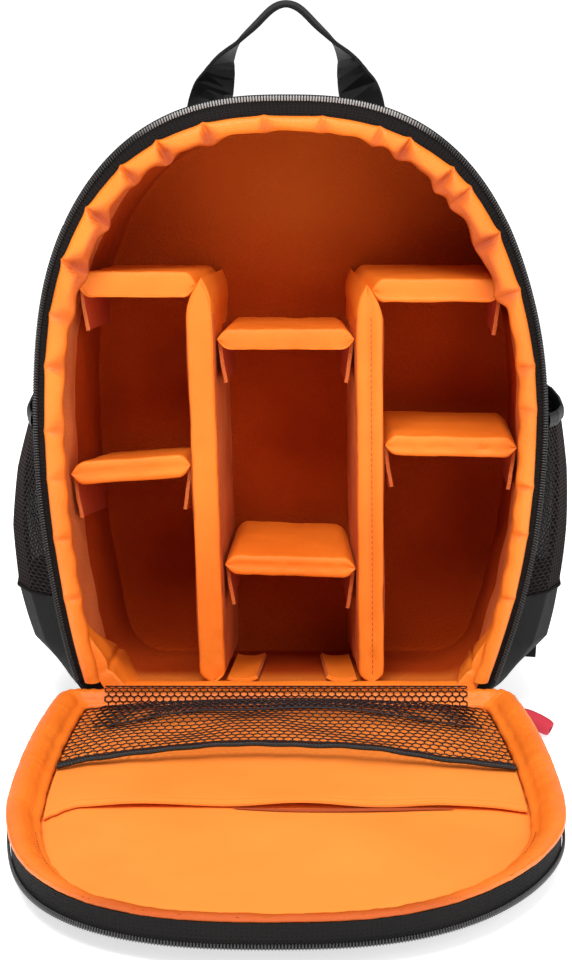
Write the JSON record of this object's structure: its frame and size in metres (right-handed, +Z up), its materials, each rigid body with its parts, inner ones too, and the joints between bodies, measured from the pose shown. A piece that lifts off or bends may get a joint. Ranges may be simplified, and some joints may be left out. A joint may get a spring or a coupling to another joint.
{
  "type": "camera backpack",
  "caption": "Black camera backpack standing open: orange padded compartment with dividers, shelves and hook tabs, front panel laid down with a net pocket, side pockets, handle and straps.",
  "frame": {"origin": "centre of the shell's flat base, on the floor", "axes": "+Z up; the open front and the lowered front panel face -Y; +X to the right when looking in"},
  "size_m": [0.3008, 0.4662, 0.3789],
  "materials": {
    "black_fabric": "woven nylon",
    "orange_fabric": "smooth nylon",
    "hook_tape": "napped",
    "black_net": "knitted net",
    "black_elastic": "ribbed elastic",
    "black_webbing": "ribbed webbing",
    "zip_tape": "woven tape",
    "zip_teeth": "nylon coil",
    "slider_metal": "painted zinc",
    "pull_rubber": "moulded",
    "black_plastic": "moulded"
  },
  "bodies": {
    "root": {"shell": "black_fabric", "lining": "orange_fabric", "mouth_tape": "zip_tape", "mouth_coil": "zip_teeth", "mouth_roll": "orange_fabric", "lid_shell": "black_fabric", "lid_pad": "orange_fabric", "lid_roll": "orange_fabric", "lid_tape": "zip_tape", "lid_coil": "zip_teeth", "hinge_flap": "orange_fabric", "slip_pocket": "orange_fabric", "net_pocket": "black_net", "net_band": "black_elastic", "divider_left": "orange_fabric", "divider_right": "orange_fabric", "shelf_top_left": "orange_fabric", "tab_top_left_left": "hook_tape", "shelf_top_right": "orange_fabric", "tab_top_right_right": "hook_tape", "shelf_mid_left": "orange_fabric", "tab_mid_left_left": "hook_tape", "tab_mid_left_right": "hook_tape", "shelf_upper_centre": "orange_fabric", "tab_upper_centre_left": "hook_tape", "tab_upper_centre_right": "hook_tape", "shelf_lower_centre": "orange_fabric", "tab_lower_centre_left": "hook_tape", "tab_lower_centre_right": "hook_tape", "shelf_mid_right": "orange_fabric", "tab_mid_right_left": "hook_tape", "tab_mid_right_right": "hook_tape", "floor_tab_left": "hook_tape", "floor_tab_right": "hook_tape", "side_pocket_left": "black_fabric", "side_net_left": "black_net", "pocket_hem_left": "black_elastic", "side_pocket_right": "black_fabric", "side_net_right": "black_net", "pocket_hem_right": "black_elastic", "handle": "black_webbing", "back_pad": "black_fabric", "strap_left": "black_fabric", "wing_left": "black_fabric", "buckle_left": "black_plastic", "web_left": "black_webbing", "strap_right": "black_fabric", "wing_right": "black_fabric", "buckle_right": "black_plastic", "web_right": "black_webbing", "zip_slider_left": "slider_metal", "zip_slider_right": "slider_metal", "zip_pull": "pull_rubber"}
  },
  "joints": []
}
